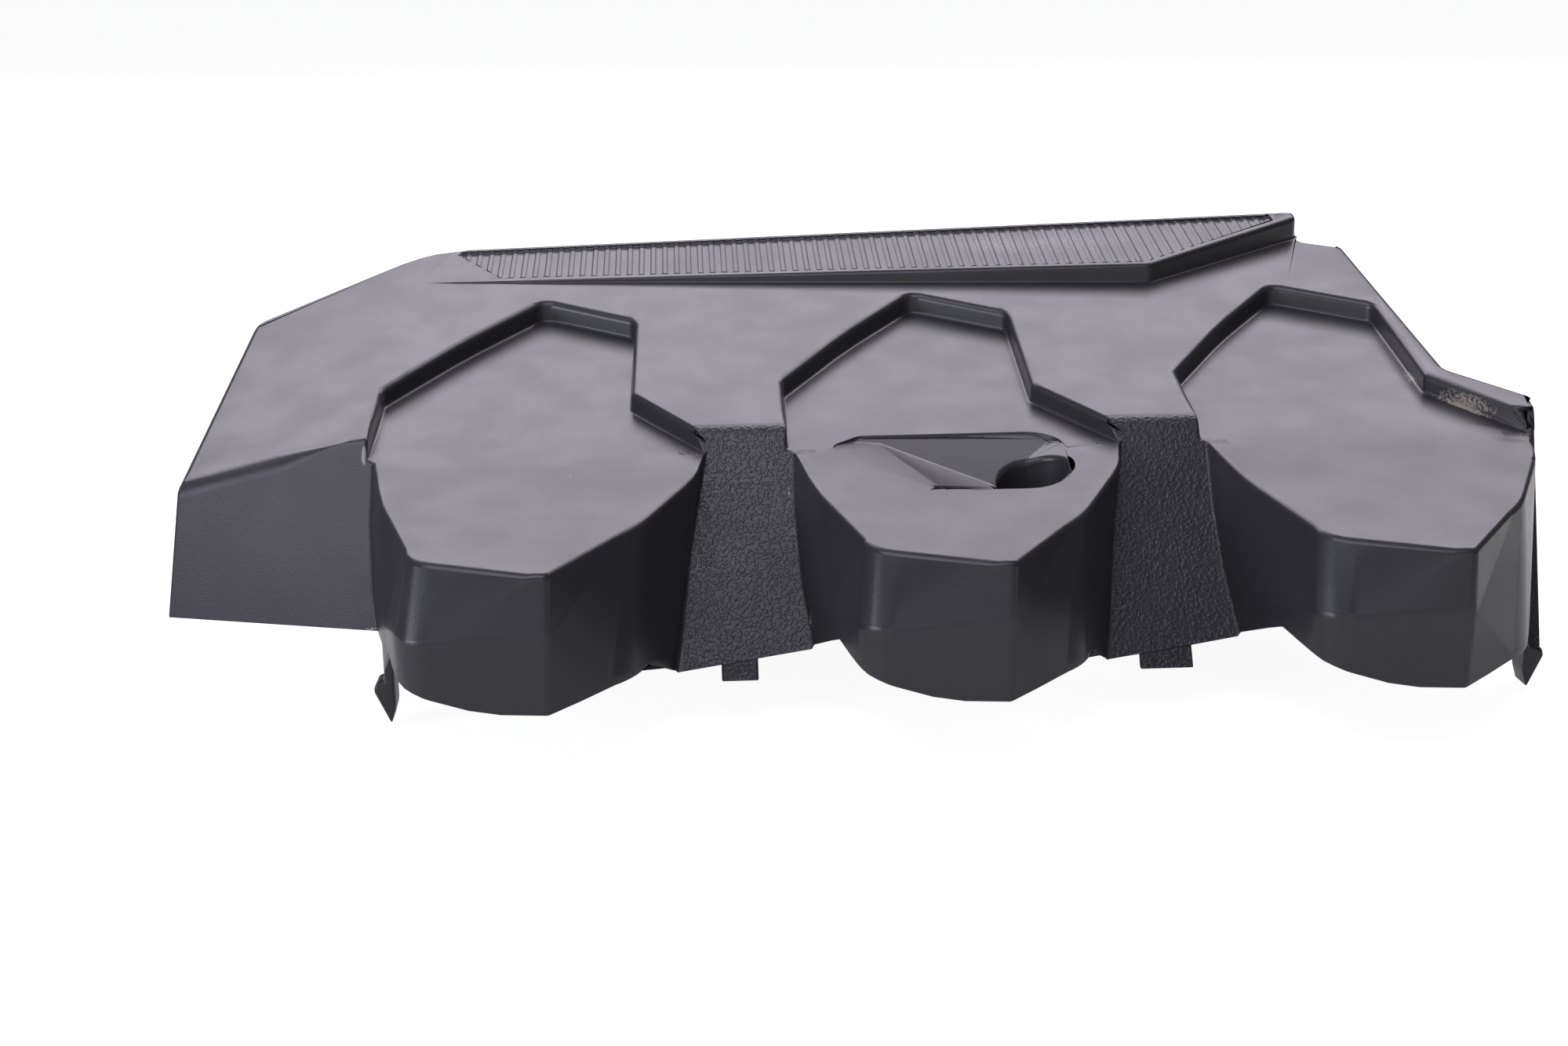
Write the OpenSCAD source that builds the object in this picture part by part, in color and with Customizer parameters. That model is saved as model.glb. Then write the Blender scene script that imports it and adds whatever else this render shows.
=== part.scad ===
// Engine cover: one moulded plastic shell with a sloping deck, three recessed lobes that run
// forward as deep buckets, and a raised ribbed strip along the rear edge.
// Frame: X along the engine, Y to the rear, Z up, as the cover sits when it is fitted. The origin
// is the centre of the left stud socket's mouth. The shapes below are drawn from the front bottom
// corner of the middle bucket, and moved to that origin at the end.

/* [Lobes] */
// Distance from one lobe to the next
lobe_pitch = 130; // [127:1:134]
// Depth of the lobe recess below the deck
recess_depth = 6.5; // [5:0.5:8]
// Height of the crease across the bucket fronts
crease_height = 24; // [18:1:30]

/* [Shell] */
// Wall thickness of the moulding
wall = 2.5; // [2:0.1:3]
// Height of the deck where the fold meets it
fold_height = 61.5; // [58:0.5:66]
// Distance of the fold behind the front corner of the middle bucket
fold_depth = 87.7; // [86:0.5:90]
// Slope of the deck, rising to the rear, in degrees
deck_slope = 13.1; // [11:0.1:15]
// Lean of the front panels from upright, in degrees
panel_lean = 33.85; // [30:0.5:36]
// Radius of the fold between the deck and the front panels
fold_radius = 7; // [4:0.5:8]
// Sideways slope of the deck's left end, in degrees
droop_angle = 10; // [6:1:12]
// Height of the rear skirt
rear_skirt = 40; // [34:1:46]

/* [Rear strip] */
// Height of the strip above the deck at its right end
strip_rise = 8; // [5:0.5:10]
// Width of the plain frame round the ribbed floor
strip_frame = 3; // [2:0.5:5]
// Depth of the ribbed floor below its frame
strip_sink = 1.2; // [0.8:0.1:1.6]
// Distance from one fine rib to the next
rib_pitch = 4.3; // [3.5:0.1:6]
// Height of the fine ribs
rib_height = 0.4; // [0.2:0.1:0.6]

/* [Dipstick opening] */
// Radius of the round hole in the middle lobe
hole_radius = 11.2; // [9:0.2:12]
// Slope of the finger scoop's ramp, in degrees from the lobe floor
ramp_slope = 17; // [14:1:20]
// Slope of the rear wall and of the face round the hole, in degrees from the lobe floor
scoop_wall_slope = 18; // [15:1:22]
// Length of the collar round the hole, below the lobe floor
collar_length = 26; // [23:1:30]

/* [Fixings] */
// Radius of the bore in each stud socket
socket_bore = 5; // [4:0.25:6]
// Depth of that bore
socket_depth = 16; // [12:1:20]
// Distance between the two stud sockets
socket_spacing = 250; // [240:5:260]
// Width of a snap hook from front to rear
hook_width = 10; // [8:1:12]
// Depth of the stiffening webs below the deck
web_depth = 12; // [8:1:16]

/* [Hidden] */
reach = 600;
arc_step = 15;
lobe_places = [-lobe_pitch, 0, lobe_pitch];

// The lobe floor is one plane behind the fold and a flatter one over the buckets.
rear_floor_slope = deck_slope - 0.5;
front_floor_slope = 9.4;
floor_bend = 16;
floor_height = fold_height - recess_depth - 0.8;
floor_hinge = fold_depth - (fold_height - floor_height) * tan(panel_lean);

// Outline of a lobe at the level of its floor, from the front tip round to the left.
// Each corner is [x, y, radius], measured from the lobe's own front bottom corner.
edge_radius = wall + 0.6;
tip = [1, 0.6, edge_radius];
right_bulge = [27, 34.5, 60];
right_shoulder = [44.5, 70, 40];
right_end = [47.3, floor_hinge - 0.2, edge_radius];
notch_corner = [23.2, 115.5, edge_radius];
rear_right_corner = [24, 174, 5];
rear_corner = [-8.8, 193.5, 5];
rear_left_bow = [-34.4, 159.4, 150];
left_corner = [-57.4, 122.8, 6];
left_end = [-58, floor_hinge - 0.5, 12];
left_bulge = [-50.8, 54, 60];
front_left_corner = [-37.3, 12.9, 12];
lobe_corners = [tip, right_bulge, right_shoulder, right_end, notch_corner, rear_right_corner,
    rear_corner, rear_left_bow, left_corner, left_end, left_bulge, front_left_corner];

// The same front stretch of the outline at the crease and below it, ending behind the panels.
bucket_back = fold_depth + 8;
bucket_top_corners = [tip, right_bulge, right_shoulder, [47.3, bucket_back, 5],
    [-58, bucket_back, 5], left_bulge, front_left_corner];
bucket_foot_corners = [[0, 0, edge_radius], [23, 15.5, 22], [35.2, 43, 30],
    [52, bucket_back, 5], [-64, bucket_back, 5], [-48.5, 33, 40], [-39.5, 1, 10]];
// How far the crease lies below its full height at each of those corners. It runs down to the
// bottom edge on the right of the tip.
crease_falls = [0, 18, 20, 20, 4, 6, 2];
// How far the crease stands out from the bottom edge at each of those corners.
crease_bulges = [1.6, 0.4, 0, 0, 0, 0.3, 1.6];

// Bottom edge of one bucket and the panel to its right, as [x, z] from the lobe's place.
panel_edge_left = -3.6;
panel_edge_right = 1.5;
bucket_edge = [[-46.5, 12], [-40, 8], [-34, 5.7], [-22, 2], [-13, 0.5], [0, 0], [9, 1.8],
    [18.6, 4], [28, 5]];
bucket_right_foot = 36;
bucket_left_foot = -53;
flank_edge_right = 9.3;
flank_edge_left = 14.7;

// Plan of the deck. The left edge leans out towards the front.
deck_left = -249;
deck_right = 181.5;
deck_rear = 243.5;
deck_corners = [[deck_left, -40, 5], [deck_right - 31.5, -40, 5], [deck_right - 2.3, 86, 4],
    [deck_right, 98, 3.2], [deck_right - 20.1, 119.5, 6], [deck_right - 22.9, deck_rear - 15.5, 4],
    [deck_right - 37.5, deck_rear - 8.5, 3.2], [deck_right - 37.5, deck_rear, 3.2],
    [deck_left + 71, deck_rear, 30],
    [deck_left + 7, deck_rear - 40.5, 10]];
droop_start = deck_left + 69;
droop_radius = 100;

// Plan of the rear strip. Its front edge starts as a sliver on the left.
strip_left = deck_left + 63;
strip_right = deck_right - 37.5;
strip_bend = deck_rear - 46;
strip_corners = [[strip_left, deck_rear - 31.5, 3.2], [strip_right - 65, strip_bend, 4],
    [strip_right - 1, deck_rear - 6, 4], [strip_right, deck_rear + 8, 4],
    [strip_left + 16, deck_rear + 8, 4]];
// Slanted left end of its ribbed floor, from the front to the rear, and the end of its ribs.
floor_end = [strip_left + 32, strip_left + 12];
ribs_end = strip_right - 14;

// Finger scoop beside the dipstick hole, at the level of the lobe floor.
hole_place = [17, 70];
scoop_rear = 93.3;
scoop_right = hole_place.x + hole_radius + 0.5;
scoop_corners = [[-45, 86, 4], [-23, 52, 20], [scoop_right, 52, 17], [scoop_right + 0.8, scoop_rear, 12],
    [-35, scoop_rear, 4]];
// The shallow start of the ramp and the steep rest of it each hinge on a line of the lobe floor.
scoop_tip_slope = 3.5;
scoop_tip_hinge = [[-44, 85], [-18, 52.5]];
scoop_ramp_hinge = [[-33, 92.5], [-14, 52.5]];

socket_y = deck_rear - 28.5;
socket_middle = -25;
socket_wall = 3;
socket_cap = 6;
socket_top = fold_height + (socket_y - fold_depth) * tan(deck_slope);
socket_mouth = socket_top - wall - socket_depth - socket_cap;
gusset_reach = 8;
web_width = 1.8;
web_start = fold_depth + 30;
web_places = [35, 60];

// The bottom edges of the buckets and panels end at split. Behind it the skirts run up to the rear.
bottom = -60;
hollow_bottom = -40;
split = 62;
skirt_bend = 85;
margin = 20;

// Window in the front face of the deck's right end, and its near left bottom corner.
end_window = [2.5, 10, 5.3];
end_window_place = [deck_right - 5.3, fold_depth - 6, fold_height - 6.2];

// Locating tabs, as [left, right] from the lobe to their left.
tab_edge = panel_edge_left + 1.6;
left_tab = [49.4, 60.5];
right_tab = [46.3, 62.5];

// Snap hooks, measured from the end lobes.
hook_stem = 3;
hook_barb = 3.4;
hook_drop = 19.5;
hook_root = 22;
hook_y = 50;
left_hook = [-49.2, 0, 0];
right_hook = [39.5, 6, -1.5];

function unit(v) = v / norm(v);

// Points on the arc that rounds corner c between its neighbours p and n, as [x, y, nx, ny].
function corner_arc(p, c, n, steps) =
    let (a = unit([c.x - p.x, c.y - p.y]),
         b = unit([n.x - c.x, n.y - c.y]),
         turn = atan2(cross(a, b), a * b),
         side = sign(turn),
         back = c[2] * tan(abs(turn) / 2),
         start = [c.x, c.y] - back * a,
         centre = start + side * c[2] * [-a.y, a.x],
         first = atan2(start.y - centre.y, start.x - centre.x),
         count = steps > 0 ? steps : max(1, ceil(abs(turn) / arc_step)))
    [for (i = [0:count])
        let (angle = first + turn * i / count, d = [cos(angle), sin(angle)])
        [centre.x + c[2] * d.x, centre.y + c[2] * d.y, side * d.x, side * d.y]];

// A closed outline with rounded corners. With steps set, every corner has as many points.
function outline(corners, steps = 0) =
    let (last = len(corners) - 1)
    [for (i = [0:last])
        each corner_arc(corners[i == 0 ? last : i - 1], corners[i],
            corners[i == last ? 0 : i + 1], steps)];

// The outline moved outwards by d, or inwards where d is negative.
function shifted(path, d) = [for (q = path) [q[0] + d * q[2], q[1] + d * q[3]]];

// Side view of the deck and the panels, as [y, z].
function side_corners(low) = [
    [fold_depth - (fold_height - low) * tan(panel_lean), low, 4],
    [reach / 2, low, 4],
    [reach / 2, fold_height + (reach / 2 - fold_depth) * tan(deck_slope), 4],
    [fold_depth, fold_height, fold_radius]];

// Height of the strip above the deck at x.
function strip_height(x) = strip_rise * (x - strip_left) / (strip_right - strip_left);

function front_floor(y) = floor_height + (y - floor_hinge) * tan(front_floor_slope);

// Side view of the lobe floor as [y, z]: two slopes that a long bend joins.
function floor_line(lift) =
    let (low = [floor_hinge - floor_bend, front_floor(floor_hinge - floor_bend)],
         high = [floor_hinge + floor_bend, floor_height + floor_bend * tan(rear_floor_slope)],
         mid = [floor_hinge, floor_height])
    [for (q = concat([[-reach / 2, front_floor(-reach / 2)]],
            [for (i = [0:4]) let (t = i / 4)
                (1 - t) * (1 - t) * low + 2 * t * (1 - t) * mid + t * t * high],
            [[reach / 2, floor_height + (reach / 2 - floor_hinge) * tan(rear_floor_slope)]]))
        [q.x, q.y + lift]];

// A profile drawn as [y, z] and run along X.
module along_x(low, high) {
    translate([low, 0, 0]) rotate([90, 0, 90]) linear_extrude(high - low) children();
}

// A profile drawn as [x, height above the deck] and run up the slope of the deck.
module along_deck() {
    translate([0, fold_depth, fold_height]) rotate([deck_slope, 0, 0]) rotate([90, 0, 0])
        translate([0, 0, -reach / 2]) linear_extrude(reach) children();
}

// The body behind the panels and under the deck, with every face moved in by inset.
module deck_block(inset, low) {
    droop_end = droop_start - droop_radius * sin(droop_angle);
    droop_fall = droop_radius * (1 - cos(droop_angle));
    far = reach / 4;
    bend = [for (i = [0:4]) let (a = droop_angle * i / 4)
        [droop_start - (droop_radius - inset) * sin(a),
         (droop_radius - inset) * cos(a) - droop_radius]];
    intersection() {
        translate([0, 0, low]) linear_extrude(reach / 2)
            polygon(shifted(outline(deck_corners), -inset));
        along_x(-reach / 2, reach / 2) polygon(shifted(outline(side_corners(low)), -inset));
        along_deck() polygon(concat([[reach / 2, -reach / 2], [reach / 2, -inset]], bend,
            [[droop_end - far, -droop_fall - far * tan(droop_angle) - inset / cos(droop_angle)],
             [droop_end - far, -reach / 2]]));
    }
}

// Everything above the lobe floor, for one lobe's width.
module above_floor(lift) {
    along_x(-lobe_pitch / 2, lobe_pitch / 2)
        polygon(concat(floor_line(lift), [[reach / 2, reach / 2], [-reach / 2, reach / 2]]));
}

// The hollow of one lobe above its floor, with its sides moved out by grow.
module lobe_recess(grow) {
    intersection() {
        translate([0, 0, -10]) linear_extrude(reach / 2)
            polygon(shifted(outline(lobe_corners), grow));
        above_floor(-grow);
    }
}

// One bucket as a loft: lobe outline at the floor, a bulging foot outline at the crease and the
// foot outline at the bottom. Its top lies at the height of the lobe floor, or rise above it.
module bucket(inset, low, rise = 0) {
    steps = 5;
    top = shifted(outline(bucket_top_corners, steps), -inset);
    foot_line = outline(bucket_foot_corners, steps);
    foot = shifted(foot_line, -inset);
    n = len(top);
    falls = [for (fall = crease_falls) for (i = [0:steps]) fall];
    bulges = [for (bulge = crease_bulges) for (i = [0:steps]) bulge - inset];
    points = concat([for (q = foot) [q.x, q.y, low]],
        [for (i = [0:n - 1])
            [foot_line[i][0] + bulges[i] * foot_line[i][2], foot_line[i][1] + bulges[i] * foot_line[i][3],
             crease_height - falls[i]]],
        [for (q = top) [q.x, q.y, front_floor(q.y) + rise - inset / cos(front_floor_slope)]]);
    sides = [for (level = [0, n]) for (i = [0:n - 1]) let (j = (i + 1) % n)
        each [[level + i, level + n + i, level + n + j], [level + i, level + n + j, level + j]]];
    polyhedron(points, concat([[for (i = [0:n - 1]) i], [for (i = [n - 1:-1:0]) 2 * n + i]], sides),
        convexity = 4);
}

// The raised strip along the rear edge, with its faces moved in by inset.
module strip_block(inset) {
    intersection() {
        translate([0, 0, margin]) linear_extrude(reach / 2)
            polygon(shifted(outline(strip_corners), -inset));
        translate([0, 0, margin]) linear_extrude(reach / 2)
            polygon(shifted(outline(deck_corners), -inset));
        along_deck() polygon([[strip_left, -margin], [deck_right, -margin],
            [deck_right, strip_height(deck_right) - inset], [strip_left, -inset]]);
    }
}

// Sunken floor of the strip with its fine ribs, as the volume to cut away.
module strip_floor() {
    first = floor_end[1] - 2;
    count = floor((ribs_end - first) / rib_pitch);
    last = first + (count + 1) * rib_pitch;
    comb = [for (i = [0:count])
        let (x = first + i * rib_pitch, low = strip_height(x) - strip_sink, high = low + rib_height)
        each [[x, low], [x + rib_pitch * 0.5, low], [x + rib_pitch * 0.6, high],
              [x + rib_pitch * 0.9, high]]];
    intersection() {
        linear_extrude(reach / 2) polygon(shifted(outline(strip_corners), -strip_frame));
        linear_extrude(reach / 2) polygon([[floor_end[0], strip_corners[0].y],
            [strip_right, strip_bend - margin], [strip_right, deck_rear - strip_frame],
            [floor_end[1], deck_rear - strip_frame]]);
        along_deck() polygon(concat([[first, 2 * margin]], comb,
            [[last, strip_height(last) - strip_sink], [last, 2 * margin]]));
    }
}

// Everything above a slope that falls from a hinge line of the lobe floor to its left side.
module above_slope(hinge, slope, grow) {
    heading = atan2(hinge[1].y - hinge[0].y, hinge[1].x - hinge[0].x) + 90;
    translate([0, floor_hinge, floor_height]) rotate([front_floor_slope, 0, 0])
        translate([hinge[0].x, hinge[0].y - floor_hinge, -grow / cos(slope)])
            rotate([0, 0, heading]) rotate([0, slope, 0])
                translate([-reach / 2, -reach / 2, 0]) cube(reach);
}

// Finger scoop: a ramp that falls to the right, a rear wall that falls to the front, and the
// face round the hole, which falls to the left.
module scoop(grow) {
    intersection() {
        linear_extrude(reach / 4) polygon(shifted(outline(scoop_corners), grow));
        union() {
            above_slope(scoop_tip_hinge, scoop_tip_slope, grow);
            above_slope(scoop_ramp_hinge, ramp_slope, grow);
        }
        above_slope([[scoop_right, scoop_rear], [0, scoop_rear]], scoop_wall_slope, grow);
        above_slope([[scoop_right, 0], [scoop_right, scoop_rear]], scoop_wall_slope, grow);
    }
}

// What lies below the bottom edges and is cut off.
module below_edges() {
    step_x = lobe_places[0] + bucket_left_foot + wall;
    far = deck_right + margin;
    skirt_end = fold_height + (deck_rear - fold_depth) * tan(deck_slope) - rear_skirt;
    contour = [for (place = lobe_places) each concat(
        [[place + bucket_left_foot, place == lobe_places[0] ? flank_edge_right : panel_edge_right]],
        place == lobe_places[0] ? [[step_x, flank_edge_right], [step_x + 0.1, 0.5]] : [],
        [for (q = bucket_edge) [place + q.x, q[1]]],
        [[place + bucket_right_foot, panel_edge_left]])];
    rotate([90, 0, 0]) translate([0, 0, -split]) linear_extrude(split + 3 * margin)
        polygon(concat([[deck_left - margin, bottom], [deck_left - margin, flank_edge_left],
            [deck_left, flank_edge_left]], contour, [[far, panel_edge_left], [far, bottom]]));
    along_x(deck_left - margin, lobe_places[0])
        polygon([[split - 0.1, flank_edge_left], [deck_rear, skirt_end], [reach / 2, skirt_end],
            [reach / 2, bottom], [split - 0.1, bottom]]);
    along_x(lobe_places[0] - 1, far)
        polygon([[split - 0.1, bottom], [split - 0.1, panel_edge_left],
            [skirt_bend, flank_edge_right], [deck_rear, skirt_end], [reach / 2, skirt_end],
            [reach / 2, bottom]]);
}

// Locating tab below the edge of a panel, drawn in side view and run along X.
module tab(place, ends) {
    face = fold_depth - (fold_height - tab_edge) * tan(panel_lean);
    along_x(place + ends[0], place + ends[1])
        polygon([for (q = [[-2.2, -4.5], [wall - 2.2, -4.5], [wall + 2.2, 4], [2.9, 4]])
            [face + q.x, tab_edge + q[1]]]);
}

// Snap hook that hangs from the foot of an end bucket. Its barb points towards -X.
module hook() {
    tip = -hook_stem - hook_barb;
    translate([0, hook_y + hook_width, 0]) rotate([90, 0, 0]) linear_extrude(hook_width)
        polygon([[0, hook_root], [-hook_stem, hook_root], [-hook_stem, 14 - hook_drop],
            [tip + 0.6, 13 - hook_drop], [tip, 10.5 - hook_drop], [-1.6, -hook_drop],
            [0, 5.5 - hook_drop]]);
}

// Stud socket under the deck: a tube closed at its top, with four gussets.
module socket(x) {
    outer = socket_bore + socket_wall;
    difference() {
        union() {
            translate([x, socket_y, socket_mouth])
                cylinder(r = outer, h = socket_top - socket_mouth + 2 * strip_rise, $fn = 48);
            for (turn = [0:90:270])
                translate([x, socket_y, 0]) rotate([0, 0, turn]) rotate([90, 0, 0])
                    translate([0, 0, -web_width / 2]) linear_extrude(web_width)
                        polygon([[0, socket_mouth + 5], [outer, socket_mouth + 5],
                            [outer + gusset_reach, socket_top],
                            [outer + gusset_reach, socket_top + 2 * strip_rise],
                            [0, socket_top + 2 * strip_rise]]);
        }
        translate([x, socket_y, socket_mouth - 1])
            cylinder(r = socket_bore, h = socket_depth + 1, $fn = 48);
    }
}

// Straight webs under the deck, between the lobes.
module webs() {
    for (place = [lobe_places[0], lobe_places[1]], x = web_places)
        along_x(place + x - web_width / 2, place + x + web_width / 2)
            polygon([[web_start, 0], [reach / 2, 0], [reach / 2, reach / 2],
                [web_start, reach / 2]]);
}

// Webs and sockets, kept inside the outer body. They reach up to the roof of the strip.
module underside() {
    intersection() {
        union() {
            deck_block(wall / 2, -margin);
            strip_block(wall * 0.7);
        }
        union() {
            intersection() {
                webs();
                along_deck() translate([-reach / 2, -wall - web_depth])
                    square([reach, web_depth + wall + 2 * strip_rise]);
            }
            for (side = [-1, 1]) socket(socket_middle + side * socket_spacing / 2);
        }
    }
}

// The full body, as if it were solid.
module outer_body() {
    difference() {
        deck_block(0, -margin);
        for (place = lobe_places) translate([place, 0, 0]) lobe_recess(0);
    }
    for (place = lobe_places) translate([place, 0, 0]) difference() {
        bucket(0, -margin, 2);
        above_floor(0);
    }
    strip_block(0);
}

// The space inside the shell. The finger scoop's own wall stays out of it.
module hollow() {
    difference() {
        union() {
            difference() {
                union() {
                    deck_block(wall, hollow_bottom);
                    strip_block(wall);
                }
                for (place = lobe_places) translate([place, 0, 0]) lobe_recess(wall);
            }
            for (place = lobe_places) translate([place, 0, 0]) bucket(wall, hollow_bottom);
        }
        scoop(wall);
    }
}

// Collar that guides the dipstick through the middle lobe.
module collar() {
    top = front_floor(hole_place.y);
    difference() {
        translate([hole_place.x, hole_place.y, top - collar_length])
            cylinder(r = hole_radius + wall, h = collar_length + margin, $fn = 64);
        above_floor(-wall / 2);
    }
}

// The fixings under the shell, each joined to it.
module fixings() {
    underside();
    collar();
    tab(lobe_places[0], left_tab);
    tab(lobe_places[1], right_tab);
    intersection() {
        union() {
            translate([lobe_places[0], 0, 0] + left_hook) hook();
            translate([lobe_places[2], 0, 0] + right_hook) mirror([1, 0, 0]) hook();
        }
        union() {
            deck_block(wall / 5, -margin);
            for (place = lobe_places) translate([place, 0, 0]) bucket(wall / 5, -margin);
            translate([-reach / 2, hook_y - margin, bottom]) cube([reach, 3 * margin, 2 - bottom]);
        }
    }
}

module engine_cover() {
    color([0.27, 0.26, 0.29])
        translate([socket_spacing / 2 - socket_middle, -socket_y, -socket_mouth]) difference() {
            union() {
                difference() {
                    outer_body();
                    hollow();
                    strip_floor();
                    below_edges();
                }
                fixings();
            }
            scoop(0);
            translate(end_window_place) cube(end_window);
            translate([hole_place.x, hole_place.y, 0])
                cylinder(r = hole_radius, h = reach / 4, $fn = 64);
        }
}

engine_cover();
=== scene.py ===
"""Looks of a moulded plastic engine cover, built around its fixed frame."""

import logging
import math
from dataclasses import dataclass, field
from enum import Enum
from typing import ClassVar

import bmesh
import bpy
from mathutils import Matrix, Vector

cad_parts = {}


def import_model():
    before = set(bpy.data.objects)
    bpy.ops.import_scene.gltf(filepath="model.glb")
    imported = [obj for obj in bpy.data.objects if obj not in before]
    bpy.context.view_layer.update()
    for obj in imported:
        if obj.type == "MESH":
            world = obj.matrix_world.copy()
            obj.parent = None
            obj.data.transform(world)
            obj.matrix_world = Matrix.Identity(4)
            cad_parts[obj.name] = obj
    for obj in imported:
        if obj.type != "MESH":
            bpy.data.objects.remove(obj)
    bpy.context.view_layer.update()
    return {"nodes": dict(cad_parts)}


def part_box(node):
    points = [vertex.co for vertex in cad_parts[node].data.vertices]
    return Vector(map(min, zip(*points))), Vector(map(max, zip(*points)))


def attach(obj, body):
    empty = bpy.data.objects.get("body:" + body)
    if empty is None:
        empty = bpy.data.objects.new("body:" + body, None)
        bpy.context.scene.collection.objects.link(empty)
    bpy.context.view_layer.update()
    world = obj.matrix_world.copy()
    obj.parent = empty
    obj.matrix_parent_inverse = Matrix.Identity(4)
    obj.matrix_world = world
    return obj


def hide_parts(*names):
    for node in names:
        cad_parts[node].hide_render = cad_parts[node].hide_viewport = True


logging.basicConfig(level=logging.INFO, format="%(message)s")
log = logging.getLogger("engine_cover")

MM = 0.001

# Distance between two buckets
PITCH = 130 * MM

# Plane that the leaning panels share, by its normal and its distance from the origin
PANEL_NORMAL = (0.0, -0.8305, 0.5570)
PANEL_OFFSET = 102.84 * MM

# A panel's left side lies this far before a whole pitch, and a panel is this wide
PANEL_SHIFT = 72 * MM
PANEL_WIDTH = 42 * MM


class Edge(Enum):
    """Kinds of edge on the moulding."""

    RIM = "rim of a recess, or outer edge of the deck"
    CREST = "front edge of a bucket's top"
    FOLD = "edge between the deck and the panel at its left end"
    LIP = "upper edge of the rear strip"
    FILLET = "inner corner at the foot of a wall"
    CREASE = "line across a bucket's front"
    CORNER = "upright corner between two walls"
    SCOOP = "edge of the finger scoop"
    TRIM = "cut edge or underside"


@dataclass
class Graph:
    """Short calls for the nodes of one material.

    Attributes:
        tree: The material's node tree.
    """

    tree: bpy.types.NodeTree

    def place(self) -> bpy.types.NodeSocket:
        """The point on the piece, in its own coordinates."""
        return self.tree.nodes.new("ShaderNodeTexCoord").outputs["Object"]

    def feed(self, socket: bpy.types.NodeSocket, value: object) -> None:
        """Links a socket to an input, or sets the input's number.

        Args:
            socket: The input.
            value: Another node's output, or a plain value.
        """
        if isinstance(value, bpy.types.NodeSocket):
            self.tree.links.new(value, socket)
        else:
            socket.default_value = value

    def math(self, kind: str, first: object, second: object = 0.0) -> bpy.types.NodeSocket:
        """One step of arithmetic.

        Args:
            kind: Blender's name of the operation.
            first: The first number.
            second: The second number.

        Returns:
            The result.
        """
        node = self.tree.nodes.new("ShaderNodeMath")
        node.operation = kind
        self.feed(node.inputs[0], first)
        self.feed(node.inputs[1], second)
        return node.outputs[0]

    def noise(self, point: bpy.types.NodeSocket, size: float,
              detail: float = 2.0) -> bpy.types.NodeSocket:
        """A cloudy pattern.

        Args:
            point: Where the pattern is read.
            size: Size of its features, in metres.
            detail: How many finer layers it has.

        Returns:
            A number from 0 to 1.
        """
        node = self.tree.nodes.new("ShaderNodeTexNoise")
        self.feed(node.inputs["Vector"], point)
        node.inputs["Scale"].default_value = 1.0 / size
        node.inputs["Detail"].default_value = detail
        return node.outputs["Fac"]

    def ramp(self, value: object, low: float, high: float, start: float = 0.0,
             end: float = 1.0) -> bpy.types.NodeSocket:
        """A smooth step from one number to another.

        Args:
            value: The number that is read.
            low: Where the step starts.
            high: Where it ends.
            start: The result up to low.
            end: The result from high on.

        Returns:
            The result.
        """
        node = self.tree.nodes.new("ShaderNodeMapRange")
        node.interpolation_type = "SMOOTHSTEP"
        self.feed(node.inputs["Value"], value)
        node.inputs["From Min"].default_value = low
        node.inputs["From Max"].default_value = high
        node.inputs["To Min"].default_value = start
        node.inputs["To Max"].default_value = end
        return node.outputs["Result"]

    def blend(self, share: bpy.types.NodeSocket, first: object, second: object) -> bpy.types.NodeSocket:
        """A mix of two colours.

        Args:
            share: How much of the second shows.
            first: The first colour.
            second: The second colour.

        Returns:
            The mixed colour.
        """
        node = self.tree.nodes.new("ShaderNodeMix")
        node.data_type = "RGBA"
        self.feed(node.inputs["Factor"], share)
        self.feed(node.inputs["A"], first)
        self.feed(node.inputs["B"], second)
        return node.outputs["Result"]

    def local(self, point: bpy.types.NodeSocket, place: tuple[float, float, float],
              reach: tuple[float, float, float], turn: float) -> bpy.types.NodeSocket:
        """The point as seen from a small patch, where 1 is the patch's edge.

        Args:
            point: The point.
            place: The patch's centre, in millimetres.
            reach: Half of the patch's size each way, in millimetres.
            turn: The patch's turn about the upright axis, in degrees.

        Returns:
            The point in the patch's own measure.
        """
        node = self.tree.nodes.new("ShaderNodeMapping")
        node.vector_type = "TEXTURE"
        self.feed(node.inputs["Vector"], point)
        node.inputs["Location"].default_value = [value * MM for value in place]
        node.inputs["Rotation"].default_value = (0.0, 0.0, math.radians(turn))
        node.inputs["Scale"].default_value = [value * MM for value in reach]
        return node.outputs["Vector"]

    def length(self, vector: bpy.types.NodeSocket) -> bpy.types.NodeSocket:
        """The length of a vector.

        Args:
            vector: The vector.

        Returns:
            Its length.
        """
        node = self.tree.nodes.new("ShaderNodeVectorMath")
        node.operation = "LENGTH"
        self.feed(node.inputs[0], vector)
        return node.outputs["Value"]

    def bump(self, height: object, depth: float, under: object = None) -> bpy.types.NodeSocket:
        """A relief on the surface.

        Args:
            height: The relief, from 0 to 1.
            depth: Its full height, in metres.
            under: A relief that this one lies on.

        Returns:
            The surface's normal.
        """
        node = self.tree.nodes.new("ShaderNodeBump")
        node.inputs["Strength"].default_value = 1.0
        node.inputs["Distance"].default_value = depth
        self.feed(node.inputs["Height"], height)
        if under is not None:
            self.feed(node.inputs["Normal"], under)
        return node.outputs["Normal"]


class Tone(Enum):
    """Colours of the marks of use, and of one painted highlight."""

    PALE = (0.42, 0.40, 0.40, 1.0)
    SAND = (0.36, 0.31, 0.26, 1.0)
    TAN = (0.27, 0.19, 0.14, 1.0)
    DARK = (0.008, 0.008, 0.008, 1.0)


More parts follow.
